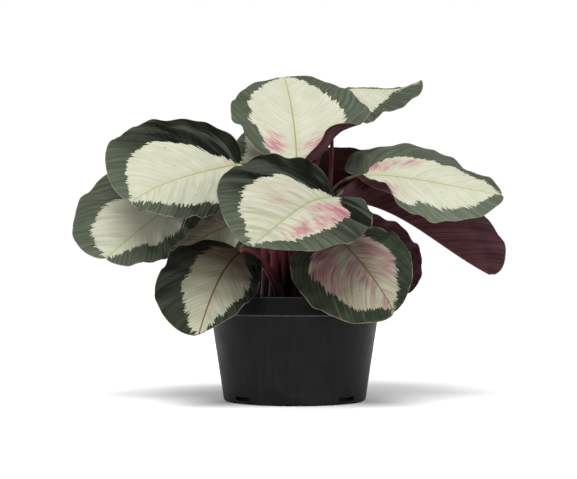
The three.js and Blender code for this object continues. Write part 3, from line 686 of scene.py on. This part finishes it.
def leaf_under_look():
    look = Look("leaf_under")
    at = leaf_values(look, UNDER_STREAKS)
    colour = look.tones(at.cloud, 0.3, 0.7, (0.0258, 0.0072, 0.0103), (0.0456, 0.0141, 0.0186))
    # The broad pale streaks: partly the underside's own streaks, partly painted sheen on its folds
    colour = look.layers(
        colour,
        (at.broad, 0.42, 0.68, 0.65, (0.078, 0.032, 0.04)),
        (at.fine, 0.45, 0.75, 0.5, (0.0167, 0.0046, 0.0061)),
        (at.over, 3.0, -3.0, 0.3, (0.0988, 0.0342, 0.0342)))
    colour = look.mix(vein_lines(at.row, 1.0) * 0.4, colour, (0.0836, 0.0319, 0.035))
    colour = look.layers(
        colour,
        (at.mid, 2.2, 0.6, 0.8, (0.0988, 0.0266, 0.0243)),
        (at.rim, 0.7, 0.2, 0.5, (0.0988, 0.0456, 0.038)))
    # Painted shade: the whole underside darker where leaves over it shade it
    colour = look.mix(at.gloom, colour, look.mix(1.0, colour, (0.08, 0.06, 0.05), "MULTIPLY"))
    height = vein_lines(at.row, 1.5) * 0.8 + at.fine * 0.9
    return look.dress(colour, at.cloud.between(0.3, 0.7, 0.44, 0.58), height, 0.0004, 0.1)


def stalk_look():
    look = Look("leaf_stalk")
    down, turn, seed = look.field("stalk_lie")
    above, pale, dim = look.field("stalk_rise")
    grain = look.noise(1.0, 4.0, 0.6, look.vector(down / 26.0, turn * 2.2, seed * 29.0))
    fine = look.noise(900.0)
    joint = look.mix(pale, (0.11, 0.035, 0.024), (0.16, 0.16, 0.08))
    colour = look.tones(grain, 0.35, 0.7, (0.052, 0.007, 0.009), (0.165, 0.026, 0.03))
    colour = look.layers(
        colour,
        (fine, 0.5, 0.75, 0.4, (0.15, 0.04, 0.045)),
        (down, JOINT_LONG, JOINT_LONG - 3.0, 0.8, joint))
    colour = look.mix(dim * 0.85, colour, (0.014, 0.005, 0.004))
    # Painted shade: the stalks go near black low down, in the shade among the leaves over the soil
    base_shade = above.between(18.0, 48.0, 1.0, 0.0)
    colour = look.mix(base_shade * 0.93, colour, (0.0035, 0.001, 0.0009))
    return look.dress(colour, grain.between(0.3, 0.7, 0.36, 0.52), grain + fine * 0.3, 0.0002, 0.16, 0.7)


def soil_look():
    look = Look("potting_mix")
    coarse = look.noise(260.0, 5.0, 0.65)
    fine = look.noise(1400.0, 3.0)
    colour = look.tones(coarse, 0.35, 0.7, (0.01, 0.007, 0.005), (0.05, 0.03, 0.018))
    colour = look.layers(colour, (fine, 0.6, 0.78, 0.7, (0.13, 0.085, 0.05)))
    return look.dress(colour, fine.between(0.3, 0.7, 0.8, 0.98), coarse + fine * 0.4, 0.0012)


def bark_look():
    look = Look("bark_bits")
    tint, shade, _ = look.field("bit_tint")
    grain = look.noise(700.0, 4.0, 0.6)
    colour = look.mix(tint, (0.028, 0.014, 0.008), (0.13, 0.07, 0.036))
    colour = look.layers(
        colour,
        (shade, 0.9, 0.92, 1.0, (0.42, 0.38, 0.31)),
        (grain, 0.4, 0.7, 0.55, (0.02, 0.012, 0.008)))
    return look.dress(colour, grain.between(0.3, 0.7, 0.7, 0.95), grain, 0.0006)


def pot_look():
    look = Look("pot_plastic")
    x, y, z = look.split(look.place())
    mottle = look.noise(38.0, 4.0, 0.6)
    grain = look.noise(1500.0)
    drawn = look.noise(1.0, 3.0, where=look.vector(x * 240.0, y * 240.0, z * 14.0))
    colour = look.tones(mottle, 0.35, 0.7, (0.005, 0.005, 0.0052), (0.0082, 0.0082, 0.0085))
    # Painted shade: the band below the rim is near black, as in the shade of the leaves over it
    colour = look.layers(
        colour,
        (drawn, 0.5, 0.75, 0.3, (0.016, 0.016, 0.017)),
        (z, BAND_LOW * MM, (BAND_LOW + 1.0) * MM, 0.92, (0.0008, 0.0008, 0.0008)))
    dust = z.between(0.022, 0.0, 0.0, 0.35) * mottle.between(0.4, 0.7)
    colour = look.mix(dust, colour, (0.025, 0.024, 0.022))
    # Painted highlights: pale lines along the rim's top and along the band's step
    from_step = look.math("ABSOLUTE", z - (BAND_LOW + 0.6) * MM)
    pale_edge = (z.between(RIM_HIGHLIGHT_FROM * MM, POT_TALL * MM)
            + from_step.between(0.3 * MM, 0.9 * MM, 0.8, 0.0))
    colour = look.mix(pale_edge * drawn.between(0.25, 0.6, 0.5, 1.0), colour, (0.06, 0.06, 0.061))
    return look.dress(colour, mottle.between(0.3, 0.7, 0.44, 0.58), grain * 0.35 + drawn * 0.8, 0.00016, 0.1)


def floor_look():
    look = Look("pale_floor")
    tone = look.noise(3.0, 3.0)
    colour = look.mix(tone, (0.91, 0.91, 0.91), (0.93, 0.93, 0.93))
    return look.dress(colour, 0.9, specular=0.1)


# --- Leaves and stalks
def rows_of(count):
    """Stations from base to tip, closer together at both ends."""
    t = np.linspace(0, 1, count)
    return 0.55 * t + 0.45 * (1 - np.cos(np.pi * t)) / 2


def packed(shape, *parts):
    """One field from three values, each a number or a grid of them."""
    return np.stack([np.broadcast_to(part, shape) for part in parts], -1).reshape(-1, 3)


def blade_values(leaf, s, v, seed):
    """The values of LEAF_FIELDS at each point of the blade."""
    out = np.abs(v)
    wide = half_wide(leaf, s, v)
    rib_long = run_along(bezier(leaf["rib"], np.linspace(0, 1, 60)))[-1]
    pink = np.zeros_like(s)
    for ps, pv, long, broad, strength in leaf["pink"]:
        pink = np.maximum(pink, strength * bump(s - ps, long) * bump(v - pv, broad))
    return dict(row=vein_row(leaf, s, v) * PLEATS * VEIN_GAP + np.where(v >= 0, 400.0, 0.0),
                over=(out - side_value(leaf, "cream", s, v)) * wide, seed=seed,
                mid=out * wide, rim=np.minimum((1 - out) * wide, (1 - s) * rib_long * 1.5), s=s,
                pink=pink, age=along(leaf.get("age", 0), s), red=leaf["rib_red"],
                deep=side_value(leaf, "deep", s, v), gloom=along(leaf.get("gloom", 0), s),
                creased=leaf.get("creased", 0.5))


def pleats(leaf, seed, s, v, over):
    """How far the pleats and soft folds lift each point, least in the cream and at the rim."""
    out = np.abs(v)
    row = vein_row(leaf, s, v) * PLEATS
    half_seed = SEED + 40 * seed + np.where(v >= 0, 11.3, 0)
    uneven = smooth_noise(row * 0.45 + half_seed, out * 1.3, SEED + 5, 2)
    swing = 0.55 + 0.9 * np.clip(uneven, -0.5, 1)
    calm = PLEAT_CALM + (1 - PLEAT_CALM) * ramp(over, -4, 5)
    flat = (1 - 0.75 * ramp(out, 0.72, 1.0)) * (1 - 0.6 * ramp(s, 0.72, 0.97))
    lift = PLEAT_DEEP * swing * calm * ramp(out, 0.02, 0.3) * flat
    fold = smooth_noise(row * 0.62 + half_seed, out * 0.9, SEED + 6, 2)
    return np.sin(np.pi * s) ** 0.4 * (
        lift * (np.cos(2 * np.pi * row) + 0.35 * np.cos(4 * np.pi * row + 0.5))
        + SOFT_FOLD * leaf.get("ripple", 1) * fold * ramp(out, 0.08, 0.6))


def mark_rims(blade, loop, count):
    """Marks the upper and the lower rim sharp, on each side of the thin wall."""
    edges = blade.data.edges
    pairs = np.empty(len(edges) * 2, np.int32)
    edges.foreach_get("vertices", pairs)
    pairs = pairs.reshape(-1, 2)
    on_rim = np.isin(pairs % count, loop).all(1)
    same_side = (pairs < count).sum(1) != 1
    edges.foreach_set("use_edge_sharp", on_rim & same_side)


def make_blade(leaf, seed, materials):
    half = np.array(HALF_COLUMNS)
    columns = np.concatenate([-half[:0:-1], half])
    s, v = np.meshgrid(rows_of(ROWS), columns, indexing="ij")
    values = blade_values(leaf, s, v, seed)
    mid = values["mid"]
    lift = pleats(leaf, seed, s, v, values["over"])
    groove = RIB_GROOVE_DEEP * bump(mid, RIB_GROOVE_WIDE) * (1 - 0.7 * s)
    keel = KEEL_DEEP * bump(mid, KEEL_WIDE) * (1 - 0.8 * s)
    middle = blade_point(leaf, s, v)
    normal = blade_normal(leaf, s, v)
    top = middle + normal * (lift + BLADE_THICK / 2 - groove)[..., None]
    under = middle + normal * (lift - BLADE_THICK / 2 - keel)[..., None]
    points = np.concatenate([top.reshape(-1, 3), under.reshape(-1, 3)])
    count = s.size
    index = np.arange(count).reshape(s.shape)
    upper = quads(index)
    loop = np.concatenate([index[0, :-1], index[:-1, -1], index[-1, :0:-1], index[:0:-1, 0]])
    after = np.roll(loop, -1)
    wall = np.stack([after, loop, loop + count, after + count], -1)
    faces = np.concatenate([upper, turned_over(upper) + count, wall])
    slots = np.repeat([0, 1, 0], [len(upper), len(upper), len(wall)])
    blade = new_object(f"leaf_{leaf['name']}", points, faces, materials, slots)
    for field, names in LEAF_FIELDS.items():
        one_side = packed(s.shape, *(values[name] for name in names))
        add_field(blade, field, np.concatenate([one_side, one_side]))
    mark_rims(blade, loop, count)
    declare(blade, "leaf_blade", f"blade_{leaf['name']}")


def soil_height(x, y):
    radius = np.hypot(x, y)
    calm = np.clip((RIM_RADIUS - 6 - radius) / 20, 0, 1)
    lumps = (1.1 * np.sin(0.21 * x + 0.8) * np.sin(0.19 * y - 0.4)
             + 0.6 * np.sin(0.37 * x - 0.29 * y + 1.1))
    return SOIL_LEVEL + 2.5 * np.exp(-radius * radius / 900) + calm * lumps


def stalk_line(leaf):
    """Points along the stalk's middle, from its foot in the soil to the blade."""
    point, ahead, _, _ = leaf_frame(leaf, np.array(0.0))
    end = point - ahead * STALK_END_GAP
    x, y = leaf["root"]
    rise, reach = leaf["stem"]
    ground = soil_height(x, y)
    foot = np.array([x, y, ground - STALK_SINK])
    clear = np.array([x, y, ground + STALK_CLEAR_OF_SOIL])
    bend = [clear, clear + np.array([*leaf.get("lean", [0, 0]), rise]), end - ahead * reach, end]
    straight = foot + (clear - foot) * np.linspace(0, 1, FOOT_STEPS + 1)[:-1, None]
    return np.concatenate([straight, bezier(bend, np.linspace(0, 1, STALK_STEPS))])


def stalk_tail(leaf, end_radius):
    """The stalk's last stretch, under the blade as the midrib's keel, and its radii."""
    point, _, _, up = leaf_frame(leaf, np.linspace(TAIL_FROM, TAIL_TO, TAIL_STEPS))
    radius = end_radius * (1 - TAIL_TAPER * np.linspace(0, 1, TAIL_STEPS) ** 0.7)
    under = point - up * (radius * 0.9 + 0.2)[:, None]
    under[0] = point[0] - up[0] * 0.35
    return under, radius


def make_stalk(leaf, seed, material):
    thick = leaf.get("thick", STALK_RADIUS)
    tail, tail_radius = stalk_tail(leaf, thick * (1 - STALK_TAPER))
    line = np.concatenate([stalk_line(leaf), tail])
    run = run_along(line)
    stem_run = run[FOOT_STEPS]
    joint_run = run[-TAIL_STEPS - 1]
    above = run - (stem_run - STALK_CLEAR_OF_SOIL)
    down = joint_run - run
    # The radius: an even taper, the swollen joint, a waist below it, and the sheath over the soil
    radius = thick * (1 - STALK_TAPER * np.clip((run - stem_run) / (joint_run - stem_run), 0, 1))
    radius *= 1 + JOINT_SWELL * ramp(down, -2, 2) * ramp(-down, -JOINT_LONG, 4 - JOINT_LONG)
    radius *= 1 - JOINT_SWELL * ramp(down, 13, 18) * (1 - ramp(down, 40, 70))
    radius *= 1 + SHEATH_SWELL * (1 - ramp(above, SHEATH_FROM, SHEATH_TO)) * ramp(above, -1.5, 5)
    radius[-TAIL_STEPS:] = tail_radius
    ahead = unit(np.gradient(line, axis=0))
    turn = 2 * np.pi * np.arange(STALK_SIDES) / STALK_SIDES
    across = np.array([1.0, 0.0, 0.0])
    points = []
    for k, centre in enumerate(line):
        across = unit(across - ahead[k] * (across @ ahead[k]))
        other = np.cross(ahead[k], across)
        ring = radius[k] * (1 - GROOVE_DEEP * bump(turn - np.pi, 0.5) * ramp(above[k], 2, 30))
        points.append(centre + np.outer(ring * np.cos(turn), across) + np.outer(ring * np.sin(turn), other))
    shape = (len(line), STALK_SIDES)
    index = np.arange(len(line) * STALK_SIDES).reshape(shape)
    faces = [*tube_quads(index), index[0, ::-1], index[-1]]
    stalk = new_object(f"petiole_{leaf['name']}", np.concatenate(points), faces, [material])
    add_field(stalk, "stalk_lie", packed(shape, down[:, None], np.abs(turn - np.pi), seed))
    rise = packed(shape, above[:, None], 1 - leaf["rib_red"], leaf.get("dim", 0))
    add_field(stalk, "stalk_rise", rise)
    declare(stalk, "leaf_stalk", f"stalk_{leaf['name']}")


# --- Pot
def wall_radius(z):
    return FOOT_RADIUS + (BODY_TOP_RADIUS - FOOT_RADIUS) * z / BAND_LOW


def inner_radius(z):
    return wall_radius(min(z, BAND_LOW)) - POT_WALL


def rounded(profile, steps=4):
    """A profile of (radius, height, rounding) corners with each corner rounded off."""
    out = []
    for k, (r, z, fillet) in enumerate(profile):
        here = np.array([r, z])
        if fillet == 0:
            out.append(here)
            continue
        before = np.array(profile[k - 1][:2]) - here
        behind = np.array(profile[k + 1][:2]) - here
        cut = min(fillet, np.linalg.norm(before) * 0.48, np.linalg.norm(behind) * 0.48)
        p0 = here + unit(before) * cut
        p1 = here + unit(behind) * cut
        for t in np.linspace(0, 1, steps + 1):
            out.append((1 - t) ** 2 * p0 + 2 * t * (1 - t) * here + t * t * p1)
    return np.array(out)


def pot_profile():
    """Once round the pot's section, from the middle underneath to the middle of the floor inside."""
    step = BODY_TOP_RADIUS + BAND_STEP
    return rounded([
        (0, FLOOR_UNDER, 0), (FOOT_RADIUS - 12, FLOOR_UNDER, 0.5), (FOOT_RADIUS - 5, FLOOR_UNDER, 0.6),
        (FOOT_RADIUS - 3.6, 0, 0.3), (FOOT_RADIUS - 1.3, 0, 0.9), (wall_radius(1.4) + 0.05, 1.6, 1.0),
        *[(wall_radius(z), z, 0) for z in (20, 45, 66)],
        (wall_radius(BAND_LOW), BAND_LOW, 0.25), (step, BAND_LOW + 0.25, 0.5),
        (step + 0.1, BAND_LOW + 4, 0), (RIM_RADIUS - 0.35, POT_TALL - 4, 0),
        (RIM_RADIUS, POT_TALL - 1.2, 0.6), (RIM_RADIUS - 0.2, POT_TALL, 0.6),
        (RIM_RADIUS - 2.0, POT_TALL, 0.6), (RIM_RADIUS - 2.4, POT_TALL - 1.4, 0.6),
        (inner_radius(BAND_LOW) + 0.6, BAND_LOW + 2, 0), (inner_radius(BAND_LOW), BAND_LOW - 1, 0.5),
        (inner_radius(40), 40, 0), (inner_radius(FLOOR_TOP + 3), FLOOR_TOP + 3, 1.0),
        (inner_radius(FLOOR_TOP) - 3, FLOOR_TOP, 1.0), (0, FLOOR_TOP, 0)])


def notch_half(k):
    """Half the width of the foot's notch number k, in radians round the pot."""
    return np.where(k % 2, WIDE_NOTCH_WIDE, NARROW_NOTCH_WIDE) / 2 / FOOT_RADIUS


def make_pot(material):
    # Angles round the pot, with the notches' edges exact
    k = np.arange(NOTCHES)[:, None]
    edges = notch_half(k) * [-1, -1, 1, 1] + NOTCH_EASE_RAD * np.array([-1, 0, 0, 1])
    even = np.linspace(0, 2 * np.pi, POT_ANGLES + 1)[:-1]
    turns = np.concatenate([even, (k * NOTCH_TURN + edges).ravel() % (2 * np.pi)])
    a = np.unique(np.round(turns, 6))[:, None]
    # The foot is cut away up to the lift
    k = np.round(a / NOTCH_TURN)
    beside = (np.abs(a - k * NOTCH_TURN) - notch_half(k)) / NOTCH_EASE_RAD
    lift = NOTCH_TALL * (1 - np.clip(beside, 0, 1))
    r, z = pot_profile().T
    cut_z = np.where((z < lift) & (r > FOOT_RADIUS - NOTCH_REACH), lift, z)
    points = np.stack([r * np.sin(a), -r * np.cos(a), cut_z], -1).reshape(-1, 3)
    index = np.arange(cut_z.size).reshape(cut_z.shape)
    faces = turned_over(tube_quads(index.T))
    pot = new_object("nursery_pot", points, faces, [material])
    weld(pot, 1e-6)
    cut_slots(pot)
    pot.data.set_sharp_from_angle(angle=math.radians(SHARP_FROM_DEG))
    pot.data.shade_smooth()
    declare(pot, "pot", "pot")


def cut_slots(pot):
    """Opens the four drain slots low in the wall, at every other notch."""
    mesh = bmesh.new()
    for k in range(1, NOTCHES, 2):
        turn = Matrix.Rotation(k * NOTCH_TURN, 3, "Z")
        for vert in bmesh.ops.create_cube(mesh, size=1.0)["verts"]:
            x = vert.co.x * DRAIN_SLOT_WIDE
            y = vert.co.y * DRAIN_CUT_DEEP - FOOT_RADIUS
            z = vert.co.z * (DRAIN_SLOT_HIGH - DRAIN_SLOT_LOW) + (DRAIN_SLOT_LOW + DRAIN_SLOT_HIGH) / 2
            vert.co = turn @ Vector((x, y, z)) * MM
    cutter = linked(bpy.data.objects.new("slot_cutter", bpy.data.meshes.new("slot_cutter")))
    mesh.to_mesh(cutter.data)
    mesh.free()
    cut = pot.modifiers.new("slots", "BOOLEAN")
    cut.operation = "DIFFERENCE"
    cut.solver = "EXACT"
    cut.object = cutter
    bpy.context.view_layer.update()
    shaped = pot.evaluated_get(bpy.context.evaluated_depsgraph_get())
    pot.data = bpy.data.meshes.new_from_object(shaped)
    pot.modifiers.clear()
    bpy.data.meshes.remove(cutter.data)


# --- Soil
def make_soil(material):
    edge = inner_radius(SOIL_LEVEL) - SOIL_GAP
    profile = [(0, FLOOR_TOP + SOIL_GAP),
               (inner_radius(FLOOR_TOP) - SOIL_GAP - 3.2, FLOOR_TOP + SOIL_GAP),
               (inner_radius(FLOOR_TOP + 3) - SOIL_GAP - 0.1, FLOOR_TOP + 3 + SOIL_GAP),
               (inner_radius(40) - SOIL_GAP, 40),
               (inner_radius(BAND_LOW) - SOIL_GAP - 0.05, BAND_LOW), (edge, SOIL_LEVEL - 1.4)]
    profile += [(edge * (1 - k / SOIL_RINGS), SOIL_LEVEL) for k in range(SOIL_RINGS + 1)]
    profile = np.array(profile)
    turn = 2 * np.pi * np.arange(SOIL_SIDES) / SOIL_SIDES
    r, t = np.meshgrid(profile[:, 0], turn, indexing="ij")
    x = r * np.sin(t)
    y = -r * np.cos(t)
    z = np.repeat(profile[:, 1:], SOIL_SIDES, 1)
    grain = 0.95 * smooth_noise(x * 0.16, y * 0.16, SEED, 5)
    crumbs = 0.5 * np.abs(smooth_noise(x * 0.5, y * 0.5, SEED + 1, 3))
    calm = np.clip((edge - r) / 6, 0.25, 1)
    heap = soil_height(x, y) + calm * (grain + crumbs) - 0.5
    z = np.where(z > SOIL_LEVEL - 0.5, heap, z)
    z[-1] = soil_height(0.0, 0.0)
    points = np.stack([x, y, z], -1).reshape(-1, 3)
    index = np.arange(z.size).reshape(z.shape)
    soil = new_object("potting_mix", points, tube_quads(index), [material])
    weld(soil, 1e-7)
    declare(soil, "soil", "soil")


def make_bits(material):
    """Bark chips, crumbs and a few pale grains lying in the mix, clear of the stalks."""
    rng = np.random.default_rng(SEED + 7)
    mesh = bmesh.new()
    bmesh.ops.create_icosphere(mesh, subdivisions=2, radius=1.0)
    ball = np.array([v.co[:] for v in mesh.verts])
    ball_faces = np.array([[v.index for v in f.verts] for f in mesh.faces])
    mesh.free()
    reach = inner_radius(BAND_LOW) - 4
    roots = np.array([leaf["root"] for leaf in LEAVES], float)
    points = []
    faces = []
    tints = []
    while len(tints) < BITS:
        radius = reach * math.sqrt(rng.uniform())
        turn = rng.uniform(0, 2 * math.pi)
        x = radius * math.sin(turn)
        y = radius * math.cos(turn)
        if np.hypot(roots[:, 0] - x, roots[:, 1] - y).min() < BIT_CLEAR_OF_STALK:
            continue
        size = rng.uniform(0.5, 1.5) if rng.uniform() < 0.7 else rng.uniform(1.5, 3.4)
        shape = size * np.array([1.0, rng.uniform(0.45, 0.9), rng.uniform(0.3, 0.6)])
        count = len(tints)
        lumps = smooth_noise(ball[:, 0] * 1.7 + count, ball[:, 1] * 1.7 + ball[:, 2], SEED + 3, 2)
        chip = ball * (1 + 0.28 * lumps[:, None]) * shape
        tilt = Matrix.Rotation(rng.uniform(-0.6, 0.6), 3, "X")
        spin = Matrix.Rotation(rng.uniform(0, 2 * math.pi), 3, "Z")
        chip = chip @ np.array(spin @ tilt).T
        points.append(chip + [x, y, soil_height(x, y) + 0.35 * shape[2]])
        faces.append(ball_faces + count * len(ball))
        tint = [rng.uniform() ** 1.5, rng.uniform() if size < PALE_BIT_UNDER else 0.0, 0.0]
        tints.append(np.tile(tint, (len(ball), 1)))
    bits = new_object("bark_bits", np.concatenate(points), np.concatenate(faces), [material])
    add_field(bits, "bit_tint", np.concatenate(tints))
    declare(bits, "soil")


# --- Floor, camera and light
def make_floor(material):
    ticks = np.linspace(-FLOOR_REACH, FLOOR_REACH, FLOOR_TICKS)
    x, y = np.meshgrid(ticks, ticks, indexing="ij")
    points = np.stack([x, y, np.full_like(x, -FLOOR_DROP)], -1).reshape(-1, 3)
    index = np.arange(x.size).reshape(x.shape)
    new_object("floor", points, turned_over(quads(index)), [material])


def aim(thing, direction):
    thing.rotation_mode = "QUATERNION"
    thing.rotation_quaternion = Vector(direction).to_track_quat("-Z", "Y")


def make_camera(scene):
    """The photograph's viewpoint: 1.3 m in front of the pot, a little above its rim."""
    data = bpy.data.cameras.new("camera")
    data.sensor_width = SENSOR_WIDE
    data.lens = SENSOR_WIDE * FOCUS_PX / PHOTO_WIDE_PX
    data.clip_start = 0.05
    data.clip_end = 200.0
    camera = linked(bpy.data.objects.new("camera", data))
    camera.location = CAMERA_AT_M
    pitch = math.radians(PITCH_DEG)
    yaw = math.radians(YAW_DEG)
    level = math.cos(pitch)
    aim(camera, (-math.sin(yaw) * level, math.cos(yaw) * level, math.sin(pitch)))
    scene.camera = camera


def make_world(scene):
    """A pale room: white all round at the height of the eye, and greyer overhead."""
    scene.world = bpy.data.worlds.new("studio")
    look = Look("studio", scene.world)
    _, _, up = look.split(look.node("TexCoord", {}, "Generated"))
    level = up.between(WORLD_GREYS_FROM, WORLD_GREYS_TO, WORLD_LEVEL, WORLD_OVERHEAD)
    look.fill(look.shader, {"Color": (1.0, 1.0, 1.0), "Strength": level})


def make_lamp(name, power, angle_deg, direction):
    data = bpy.data.lights.new(name, "SUN")
    data.energy = power
    data.angle = math.radians(angle_deg)
    aim(linked(bpy.data.objects.new(name, data)), direction)


scene = bpy.context.scene
scene.view_settings.view_transform = "Standard"
scene.view_settings.look = "None"

blade_materials = [leaf_top_look(), leaf_under_look()]
stalk_material = stalk_look()
for number, leaf in enumerate(LEAVES):
    make_blade(leaf, 0.13 + 0.71 * number, blade_materials)
    make_stalk(leaf, 0.37 + 0.53 * number, stalk_material)
make_pot(pot_look())
make_soil(soil_look())
make_bits(bark_look())
make_floor(floor_look())
make_camera(scene)
make_world(scene)
# A broad soft lamp high over the plant, a little in front, and a weak one beside it
make_lamp("key", KEY_POWER, KEY_ANGLE_DEG, KEY_DIRECTION)
make_lamp("fill", FILL_POWER, FILL_ANGLE_DEG, FILL_DIRECTION)

bpy.context.view_layer.update()
